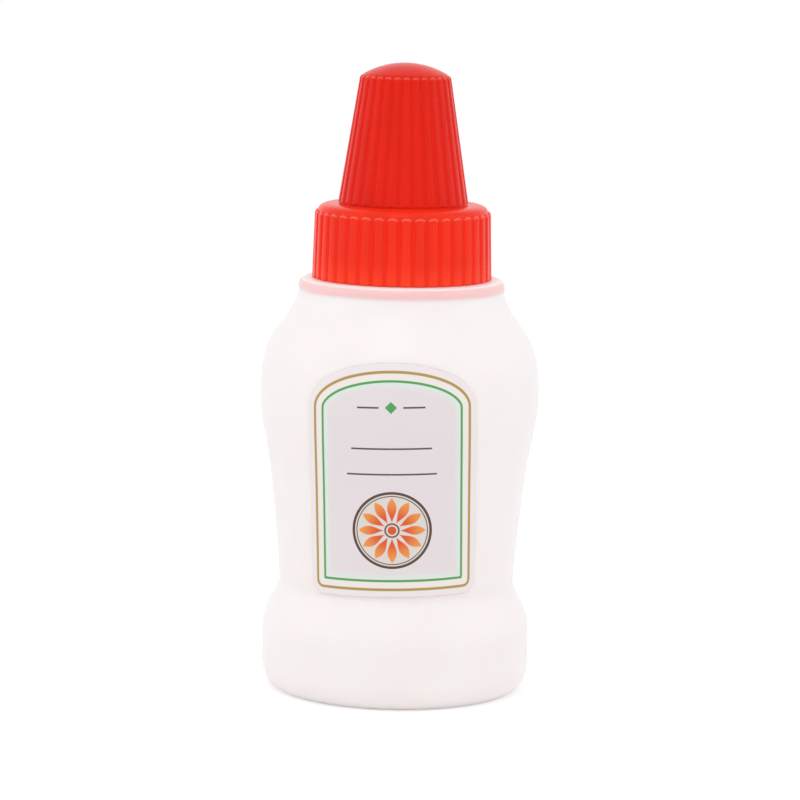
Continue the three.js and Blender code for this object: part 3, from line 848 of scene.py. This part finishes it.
def bottle_neck(sizes):
    """The ring's wall, its ledge, the neck, the lip and the bore, with every corner softened. The
    neck's wall has share 1, so that it carries the thread, and its rows lie closer together."""
    top = sizes.ring_top
    rim = top + sizes.neck_height
    crease = top - sizes.ring_height
    lip = sizes.neck_lip
    corners = [
        (sizes.crease_radius, crease, 0),
        (sizes.ring_radius, crease + sizes.ring_under, 0),
        (sizes.ring_radius, top, 0),
        (sizes.neck_radius, top, 0),
        (sizes.neck_radius, top + sizes.neck_plain, 1),
        (sizes.neck_radius, rim - sizes.neck_plain, 1),
        (sizes.neck_radius, rim, 0),
        (sizes.neck_bore, rim, 0),
        (sizes.neck_bore, top - sizes.throat, 0),
    ]
    reaches = [0, sizes.ring_edge, sizes.ring_corner, sizes.neck_root, 0, 0, lip, lip, 0]
    neck = softened(corners, reaches, 12)
    return spaced(neck, np.where(neck[1:, 2] > 0, THREAD_STEP, PLAIN_STEP))


def bottle_profile(sizes):
    """The bottle from the middle of its underside to the middle of its floor, and how many of its
    points come before the neck. The hollow follows the outside at the wall's distance."""
    outline = bottle_outline(sizes)
    neck = bottle_neck(sizes)
    foot = sizes.band_radius - sizes.foot_width - sizes.foot_ring
    under = cubic(
        point(0, sizes.push_up, 0), point(foot / 2, sizes.push_up, 0),
        point(foot - sizes.foot_ring, 0, 0), point(foot, 0, 0), 30,
    )
    # Downwards from the crease, with every second point, which is enough for the hollow.
    inside = moved_in(outline, sizes.wall)
    inside = inside[inside[:, 1] > sizes.base_wall + sizes.wall][::-2]
    down = point(0, sizes.throat, 0)
    throat = cubic(neck[-1], neck[-1] - down, inside[0] + down, inside[0], 12)
    floor = (under + point(0, sizes.base_wall, 0))[::-1]
    body = np.vstack([under, spaced(outline, WALL_STEP)])
    hollow = spaced(np.vstack([throat, inside, floor]), PLAIN_STEP)
    return distinct(np.vstack([body, neck, hollow])), len(body)


def make_bottle_mesh(sizes, thread):
    """The bottle as one closed shell. The thread is added to the neck's radius, and the mould's
    two parting lines, narrow bells of the distance from the X axis, to the outside below it."""
    profile, outside = bottle_profile(sizes)
    angles = round_angles(BOTTLE_COLUMNS)
    end = sizes.ring_top + sizes.neck_height - thread.top_distance
    helix = thread_rise(angles, profile[:, 1], end, thread) * profile[:, 2:3]
    seam = np.exp(-((np.sin(angles) * sizes.band_radius / sizes.seam_width) ** 2))
    carries = (np.arange(len(profile)) < outside) & (profile[:, 0] > sizes.crease_radius)
    radii = profile[:, :1] + thread.depth * helix + sizes.seam_height * seam * carries[:, None]
    piece = surface("bottle_shell", turned(radii, profile[:, 1], angles), poles=True)
    inside = np.arange(len(profile)) > profile[:, 1].argmax()
    return carry(piece, "inside", np.broadcast_to(inside[:, None], radii.shape), poles=True)


def label_outline(sizes):
    """The closed outline of the flat label: straight sides, rounded lower corners and an arched
    head that is half an ellipse, as points evenly spaced along it, clockwise from the front."""
    half = sizes.width / 2
    corner = sizes.corner
    right = np.vstack([
        quarter(point(half - corner, sizes.bottom + corner), corner, corner, -1, 0, 24),
        quarter(point(0, sizes.top - sizes.arch), half, sizes.arch, 0, 1, 90),
    ])
    left = right[::-1] * [-1, 1]
    loop = np.vstack([right, left, right[:1]])[::-1]
    run = np.r_[0, np.cumsum(np.linalg.norm(np.diff(loop, axis=0), axis=1))]
    even = np.linspace(0, run[-1], LABEL_COLUMNS, endpoint=False)
    return np.stack([np.interp(even, run, loop[:, 0]), np.interp(even, run, loop[:, 1])], axis=-1)


def distance_to(outline, points):
    """How far each point lies from a closed outline: the least distance to any of its edges."""
    start = outline[None]
    edge = np.roll(outline, -1, axis=0)[None] - start
    gap = points[:, None] - start
    along = np.clip((gap * edge).sum(-1) / (edge * edge).sum(-1), 0, 1)
    return np.linalg.norm(gap - along[..., None] * edge, axis=-1).min(axis=1)


def on_bottle(flat, off, sizes, profile):
    """Where points of the flat label lie on the bottle: turned by the tilt about the label's
    middle, moved by its shift, then laid round the bottle with arc length over radius as angle."""
    middle = (sizes.bottom + sizes.top) / 2
    up = flat[:, 1] - middle
    side = sizes.shift + flat[:, 0] * np.cos(sizes.tilt) - up * np.sin(sizes.tilt)
    height = middle + flat[:, 0] * np.sin(sizes.tilt) + up * np.cos(sizes.tilt)
    radius = np.interp(height, profile[:, 1], profile[:, 0])
    angle = side / radius
    return np.stack([(radius + off) * np.sin(angle), -(radius + off) * np.cos(angle), height], axis=-1)


def make_label_mesh(sizes, bottle):
    """The label as a closed thin shell: its outline shrinks to its middle, over the front in steps
    that crowd at the edge and over the back in even steps. The front's edge rolls down as a
    quarter circle does, to a blunt edge that is a share of the thickness high."""
    crowding = 1.8
    outline = label_outline(sizes)
    middle = point(0, (sizes.bottom + sizes.top) / 2)
    front = 1 - np.linspace(1, 0, 70)[1:] ** crowding
    scales = np.r_[0, front, np.linspace(1, 0, 16)]
    rows = len(scales)
    flat = (middle + scales[:, None, None] * (outline - middle)).reshape(-1, 2)
    inset = distance_to(outline, flat)
    roll = np.sqrt(1 - (1 - np.clip(inset / sizes.thickness, 0, 1)) ** 2)
    is_front = np.repeat(np.arange(rows) <= len(front), len(outline))
    front_share = sizes.blunt + (1 - sizes.blunt) * roll
    off = sizes.lift + np.where(is_front, sizes.thickness * front_share, 0)
    profile = spaced(bottle_outline(bottle), WALL_STEP)
    points = on_bottle(flat, off, sizes, profile).reshape(rows, len(outline), 3)
    piece = surface("printed_label", points, poles=True)
    return carry(piece, "flat_place", np.c_[flat, inset].reshape(points.shape), poles=True)


# Liner, collar and tip cap.


def heights_in(scene):
    """The heights that follow from the sizes, from the collar's foot to the top of the cap."""
    bottle = scene.squeeze_body
    collar = scene.squeeze_collar
    cap = scene.squeeze_cap
    rim = bottle.ring_top + bottle.neck_height
    roof = rim + scene.squeeze_liner.thickness
    collar_top = roof + collar.roof
    cap_bottom = collar_top + collar.seat_height
    cap_top = cap_bottom + cap.height
    return SimpleNamespace(
        collar_bottom=bottle.ring_top + collar.foot_gap, rim=rim, roof=roof, collar_top=collar_top,
        cap_bottom=cap_bottom, tip=cap_top - cap.headroom, cap_top=cap_top,
    )


def turned_ring(name, corners, reaches):
    """A plain ring turned from a closed loop of corners, each softened over its reach."""
    profile = spaced(softened(corners, reaches), PLAIN_STEP)[:-1]
    points = turned(profile[:, :1], profile[:, 1], round_angles(SMALL_COLUMNS))
    return surface(name, points, poles=False)


def ribbed_piece(name, profile, angles, inset, rib_top, sizes, poles):
    """A turned piece with inset taken off its radii and grip ribs added to them. It carries how
    deep in a groove and how near to the middle of a rib's end each of its points lies, for the
    painted shade in the grooves and the painted highlight on the ribs' ends."""
    rib_share = profile[:, 2:3]
    ribs, groove, end = rib_shape(angles, profile[:, 1], sizes, rib_top)
    radii = profile[:, :1] + sizes.rib_depth * ribs * rib_share - inset
    piece = surface(name, turned(radii, profile[:, 1], angles), poles)
    # groove carries where the painted shade goes.
    carry(piece, "groove", groove * rib_share, poles)
    # rib_end carries where the painted highlight goes.
    return carry(piece, "rib_end", end * rib_share, poles)


def make_liner_mesh(sizes, at):
    """A flat ring with softened edges."""
    middle = (at.rim + at.roof) / 2
    corners = [
        (sizes.hole, middle), (sizes.hole, at.rim), (sizes.radius, at.rim),
        (sizes.radius, at.roof), (sizes.hole, at.roof), (sizes.hole, middle),
    ]
    return turned_ring("foam_liner", corners, [0, *[sizes.edge] * 4, 0])


def collar_profile(collar, at):
    """A closed loop from the skirt's inner foot corner out and up the ribbed wall, over the
    rounded shoulder and the cap's seat, down inside the spout's root, and down the threaded bore.
    Its two shares say where the ribs and where the thread stand out."""
    foot = at.collar_bottom
    top = at.collar_top
    shoulder_radius = collar.radius - collar.draft
    shoulder_foot = top - collar.shoulder_drop
    width = shoulder_radius - collar.seat_radius
    fine = collar.rib_end + collar.rib_arch
    slope = collar.draft / (shoulder_foot - foot)
    fine_foot = point(shoulder_radius + slope * fine, shoulder_foot - fine, 1, 0)
    bore_foot = point(collar.bore, foot + collar.bore_plain, 0, 1)
    wall = softened(
        [bore_foot, (collar.bore, foot, 0, 0), (collar.radius, foot, collar.rib_foot, 0), fine_foot],
        [0, collar.bore_edge, collar.foot_edge, 0],
    )
    shoulder = cubic(
        point(shoulder_radius, shoulder_foot, 1, 0),
        point(shoulder_radius, shoulder_foot + 0.85 * collar.shoulder_drop, 1, 0),
        point(shoulder_radius - 0.3 * width, top, 0, 0), point(collar.seat_radius, top, 0, 0), 44,
    )
    rib_ends = spaced(np.stack([fine_foot, shoulder[0]]), RIB_END_STEP)
    hole = collar.spout_root - collar.spout_lap
    seat = softened(
        [
            (collar.seat_radius, top, 0, 0),
            (collar.seat_radius, at.cap_bottom, 0, 0),
            (hole, at.cap_bottom, 0, 0),
            (hole, at.roof + collar.roof_rise, 0, 0),
            (collar.bore, at.roof, 0, 0),
            (collar.bore, at.roof - collar.bore_plain, 0, 1),
            bore_foot,
        ],
        [0, collar.seat_height / 2, collar.seat_height / 2, collar.bore_edge, collar.roof_corner, 0, 0],
    )
    seat = spaced(seat, np.where(seat[1:, 3] > 0, THREAD_STEP, PLAIN_STEP))
    return distinct(np.vstack([spaced(wall, PLAIN_STEP), rib_ends, shoulder, seat]))[:-1]


def make_collar_mesh(collar, thread, at):
    """The skirt and the roof, ribbed outside, with the thread standing inwards off the bore."""
    profile = collar_profile(collar, at)
    angles = rib_angles(collar.ribs, collar.rib_turn)
    rib_top = at.collar_top - collar.shoulder_drop + collar.rib_end + collar.rib_overrun
    end = at.rim - thread.top_distance - thread.drop
    helix = thread_rise(angles % FULL_TURN, profile[:, 1], end, thread) * profile[:, 3:4]
    inset = thread.depth * helix
    return ribbed_piece("ribbed_collar", profile, angles, inset, rib_top, collar, poles=False)


def make_spout_mesh(collar, at):
    """The boss and the tapered spout, with a tapered bore that ends in a small straight hole."""
    under = at.roof + collar.spout_inset
    boss_top = at.cap_bottom + collar.boss_height
    corners = [
        (collar.spout_bore, under),
        (collar.boss_radius, under),
        (collar.boss_radius, boss_top),
        (collar.spout_root, boss_top),
        (collar.spout_tip, at.tip),
        (collar.orifice, at.tip),
        (collar.orifice, at.tip - collar.orifice_length),
        (collar.spout_bore, at.cap_bottom),
        (collar.spout_bore, under),
    ]
    reaches = [
        0, collar.bore_edge, collar.boss_corner, collar.spout_edge, collar.spout_edge,
        collar.orifice_edge, collar.orifice_lead, collar.spout_throat, 0,
    ]
    return turned_ring("tapered_spout", corners, reaches)


def tip_cap_inside(cap, collar, at):
    """From the pin's end down inside the cap, out round its foot and up the foot's band."""
    bottom = at.cap_bottom
    grip = collar.boss_radius + cap.grip_gap
    ceiling = at.cap_top - cap.wall - cap.dome / 2
    pin_end = at.tip - cap.pin_reach
    corners = [
        (0, pin_end, 0),
        (cap.pin - cap.pin_point, pin_end, 0),
        (cap.pin, pin_end + cap.pin_lead, 0),
        (cap.pin, ceiling, 0),
        (cap.head - cap.wall, ceiling, 0),
        (grip, bottom + cap.grip_height, 0),
        (grip, bottom, 0),
        (cap.foot + cap.rib_depth * cap.foot_cover, bottom, 0),
        (cap.foot, bottom + cap.foot_rim, 1),
        (cap.foot - cap.foot_lean, bottom + cap.foot_band, 1),
    ]
    reaches = [
        0, cap.pin_edge, cap.pin_lead / 2, cap.inner_corner, cap.ceiling_corner,
        cap.inner_corner, cap.foot_edge, 0, 0, 0,
    ]
    return spaced(softened(corners, reaches), PLAIN_STEP)


def tip_cap_profile(cap, collar, at):
    """The inside and the foot, then up the ribbed wall and over the dome, which is part of a sphere
    through the dome's edge and its top."""
    inside = tip_cap_inside(cap, collar, at)
    soft = cap.head_corner
    edge = at.cap_top - cap.dome - soft
    span = cap.head - soft
    bow = (span**2 + cap.dome**2) / (2 * cap.dome)
    radius = np.linspace(span, 0, 26)
    height = at.cap_top - bow + np.sqrt(bow**2 - radius**2)
    crown = np.stack([radius, height, np.zeros_like(radius)], axis=-1)
    corner = cubic(
        point(cap.head + 0.04 * soft, edge - 0.3 * soft, 1),
        point(cap.head - 0.04 * soft, edge + 0.36 * soft, 1),
        point(span + 0.32 * soft, height[0] - 0.14 * soft, 0), crown[0], 10,
    )
    fine_share = (cap.rib_end + cap.rib_arch) / (corner[0, 1] - inside[-1, 1])
    fine_foot = corner[0] + (inside[-1] - corner[0]) * fine_share
    wall = spaced(np.stack([inside[-1], fine_foot]), PLAIN_STEP)
    rib_ends = spaced(np.stack([fine_foot, corner[0]]), RIB_END_STEP)
    return distinct(np.vstack([inside, wall, rib_ends, corner, crown]))


def make_tip_cap_mesh(cap, collar, at):
    """The ribbed cone with its dome, its hollow and its pin."""
    profile = tip_cap_profile(cap, collar, at)
    angles = rib_angles(cap.ribs, cap.rib_turn)
    rib_top = at.cap_top - cap.dome - cap.head_corner / 2
    return ribbed_piece("ribbed_tip_cap", profile, angles, 0, rib_top, cap, poles=True)


# Stage.


def lamp(name, position, target, size, power):
    """A round lamp that faces its target."""
    light = bpy.data.lights.new(name, "AREA")
    light.shape = "DISK"
    light.size = size
    light.energy = power
    holder = bpy.data.objects.new(name, light)
    holder.location = position
    holder.rotation_euler = (Vector(target) - Vector(position)).to_track_quat("-Z", "Y").to_euler()
    bpy.context.scene.collection.objects.link(holder)


def background_share(tree):
    """1 for rays that see the background: from the camera, in gloss and through clear plastic."""
    path = tree.nodes.new("ShaderNodeLightPath")
    total = path.outputs["Is Camera Ray"]
    for name in ("Is Glossy Ray", "Is Transmission Ray"):
        more = tree.nodes.new("ShaderNodeMath")
        more.operation = "MAXIMUM"
        tree.links.new(total, more.inputs[0])
        tree.links.new(path.outputs[name], more.inputs[1])
        total = more.outputs[0]
    return total


def make_world(light):
    """White to the camera and in gloss, and an even white light of that strength elsewhere."""
    world = bpy.data.worlds.new("studio")
    world.use_nodes = True
    bpy.context.scene.world = world
    tree = world.node_tree
    background = tree.nodes["Background"]
    background.inputs["Color"].default_value = (1, 1, 1, 1)
    level = tree.nodes.new("ShaderNodeMapRange")
    level.inputs["To Min"].default_value = light
    level.inputs["To Max"].default_value = 1.0
    tree.links.new(background_share(tree), level.inputs["Value"])
    tree.links.new(level.outputs["Result"], background.inputs["Strength"])


def grey_shader(tree, kind, level):
    """A shader of that kind in an even grey, or in white at level 1."""
    node = tree.nodes.new("ShaderNode" + kind)
    node.inputs["Color"].default_value = (level, level, level, 1)
    return node


def make_floor(studio):
    """A plain pale floor that keeps the object's shadow and joins the white background: what the
    camera sees of it is darker than the floor that lights the object, with a glow on top."""
    half = studio.floor_size / 2
    mesh = bpy.data.meshes.new("floor")
    corners = [(-half, -half, 0), (half, -half, 0), (half, half, 0), (-half, half, 0)]
    mesh.from_pydata(corners, [], [(0, 1, 2, 3)])
    floor = bpy.data.objects.new("floor", mesh)
    bpy.context.scene.collection.objects.link(floor)
    material = bpy.data.materials.new("pale_floor")
    material.use_nodes = True
    tree = material.node_tree
    tree.nodes.clear()
    matt = grey_shader(tree, "BsdfDiffuse", studio.floor_light)
    seen = grey_shader(tree, "BsdfDiffuse", studio.floor_seen)
    glow = grey_shader(tree, "Emission", 1)
    glow.inputs["Strength"].default_value = studio.floor_glow
    both = tree.nodes.new("ShaderNodeAddShader")
    mix = tree.nodes.new("ShaderNodeMixShader")
    output = tree.nodes.new("ShaderNodeOutputMaterial")
    for source, socket in (
        (seen.outputs[0], both.inputs[0]),
        (glow.outputs[0], both.inputs[1]),
        (background_share(tree), mix.inputs["Fac"]),
        (matt.outputs[0], mix.inputs[1]),
        (both.outputs[0], mix.inputs[2]),
        (mix.outputs[0], output.inputs["Surface"]),
    ):
        tree.links.new(source, socket)
    mesh.materials.append(material)


def make_camera(studio):
    """The camera in front of the label, looking slightly down, rolled as the photograph is."""
    data = bpy.data.cameras.new("camera")
    data.lens = studio.lens
    data.clip_start = studio.near_clip
    camera = bpy.data.objects.new("camera", data)
    position = Vector((0, -studio.camera_distance, studio.camera_height))
    target = Vector((studio.target_side, 0, studio.target_height))
    facing = (target - position).to_track_quat("-Z", "Y").to_matrix().to_4x4()
    roll = Matrix.Rotation(studio.camera_roll, 4, "Z")
    camera.matrix_world = Matrix.Translation(position) @ facing @ roll
    bpy.context.scene.collection.objects.link(camera)
    bpy.context.scene.camera = camera


# Add-on.


class SQUEEZE_OT_stage(Operator):
    """Add the pale floor, the soft studio light and the camera"""

    bl_idname = "squeeze_bottle.stage"
    bl_label = "Stage"

    def execute(self, context):
        studio = context.scene.squeeze_studio
        make_camera(studio)
        make_world(studio.world_light)
        make_floor(studio)
        size = studio.lamp_size
        lamp("top_lamp", studio.top_spot, studio.aim, size, studio.top_light)
        lamp("left_lamp", studio.left_spot, studio.aim, size, studio.left_light)
        lamp("right_lamp", studio.right_spot, studio.aim, size, studio.right_light)
        context.scene.view_settings.view_transform = "Standard"
        return {"FINISHED"}


class SQUEEZE_OT_bottle(Operator):
    """Add the milky bottle with its threaded neck"""

    bl_idname = "squeeze_bottle.bottle"
    bl_label = "Bottle"

    def execute(self, context):
        scene = context.scene
        piece = make_bottle_mesh(scene.squeeze_body, scene.squeeze_thread)
        material = milky_plastic(scene.squeeze_finishes, scene.squeeze_grains, scene.squeeze_body)
        place(piece, "bottle", "bottle", material, "bottle")
        return {"FINISHED"}


class SQUEEZE_OT_label(Operator):
    """Add the printed label on the bottle's front"""

    bl_idname = "squeeze_bottle.label"
    bl_label = "Label"

    def execute(self, context):
        scene = context.scene
        piece = make_label_mesh(scene.squeeze_label, scene.squeeze_body)
        material = label_print(scene.squeeze_finishes, scene.squeeze_grains, scene.squeeze_label)
        place(piece, "bottle", "label", material, "label")
        return {"FINISHED"}


class SQUEEZE_OT_liner(Operator):
    """Add the foam liner that seals the neck"""

    bl_idname = "squeeze_bottle.liner"
    bl_label = "Liner"

    def execute(self, context):
        scene = context.scene
        piece = make_liner_mesh(scene.squeeze_liner, heights_in(scene))
        material = liner_foam(scene.squeeze_finishes, scene.squeeze_grains)
        place(piece, "liner", "liner", material, "sealing_liner")
        return {"FINISHED"}


class SQUEEZE_OT_collar(Operator):
    """Add the ribbed collar and its spout"""

    bl_idname = "squeeze_bottle.collar"
    bl_label = "Collar and spout"

    def execute(self, context):
        scene = context.scene
        at = heights_in(scene)
        sizes = scene.squeeze_collar
        finishes = scene.squeeze_finishes
        # The heights of the paler red painted on the foot as light from below.
        foot = (at.collar_bottom + sizes.foot_light_start, at.collar_bottom + sizes.foot_light_end)
        material = red_plastic(
            "red_collar_plastic", finishes.collar_red, finishes, scene.squeeze_grains, 0.24, foot)
        collar = make_collar_mesh(sizes, scene.squeeze_thread, at)
        place(collar, "collar", "collar", material, "spout_collar")
        place(make_spout_mesh(sizes, at), "collar", "collar", material)
        return {"FINISHED"}


class SQUEEZE_OT_tip_cap(Operator):
    """Add the ribbed tip cap with its sealing pin"""

    bl_idname = "squeeze_bottle.tip_cap"
    bl_label = "Tip cap"

    def execute(self, context):
        scene = context.scene
        finishes = scene.squeeze_finishes
        piece = make_tip_cap_mesh(scene.squeeze_cap, scene.squeeze_collar, heights_in(scene))
        material = red_plastic(
            "red_cap_plastic", finishes.cap_red, finishes, scene.squeeze_grains, 0.25)
        place(piece, "tip_cap", "cap", material, "tip_cap")
        return {"FINISHED"}


SETTINGS = {
    "squeeze_body": BottleSizes,
    "squeeze_thread": ThreadSizes,
    "squeeze_label": LabelSizes,
    "squeeze_liner": LinerSizes,
    "squeeze_collar": CollarSizes,
    "squeeze_cap": TipCapSizes,
    "squeeze_finishes": Finishes,
    "squeeze_grains": Grains,
    "squeeze_studio": StudioSettings,
}
OPERATORS = (
    SQUEEZE_OT_stage, SQUEEZE_OT_bottle, SQUEEZE_OT_label, SQUEEZE_OT_liner, SQUEEZE_OT_collar,
    SQUEEZE_OT_tip_cap,
)


class SQUEEZE_PT_panel(Panel):
    """The pieces of the squeeze bottle, each with a button, and their sizes and colours"""

    bl_label = "Squeeze Bottle"
    bl_space_type = "VIEW_3D"
    bl_region_type = "UI"
    bl_category = "Squeeze Bottle"

    def draw(self, context):
        for operator in OPERATORS:
            self.layout.operator(operator.bl_idname)
        for name, group in SETTINGS.items():
            box = self.layout.box()
            box.label(text=group.__name__)
            settings = getattr(context.scene, name)
            for key in group.__annotations__:
                box.prop(settings, key)


CLASSES = (*SETTINGS.values(), *OPERATORS, SQUEEZE_PT_panel)


def register():
    for cls in CLASSES:
        bpy.utils.register_class(cls)
    for name, group in SETTINGS.items():
        setattr(bpy.types.Scene, name, PointerProperty(type=group))


def unregister():
    for name in SETTINGS:
        delattr(bpy.types.Scene, name)
    for cls in reversed(CLASSES):
        bpy.utils.unregister_class(cls)


def corners(bounds):
    return [list(corner) for corner in bounds]


def main():
    register()
    bpy.ops.squeeze_bottle.stage()
    bpy.ops.squeeze_bottle.bottle()
    bpy.ops.squeeze_bottle.label()
    bpy.ops.squeeze_bottle.liner()
    bpy.ops.squeeze_bottle.collar()
    bpy.ops.squeeze_bottle.tip_cap()


if __name__ == "__main__":
    main()
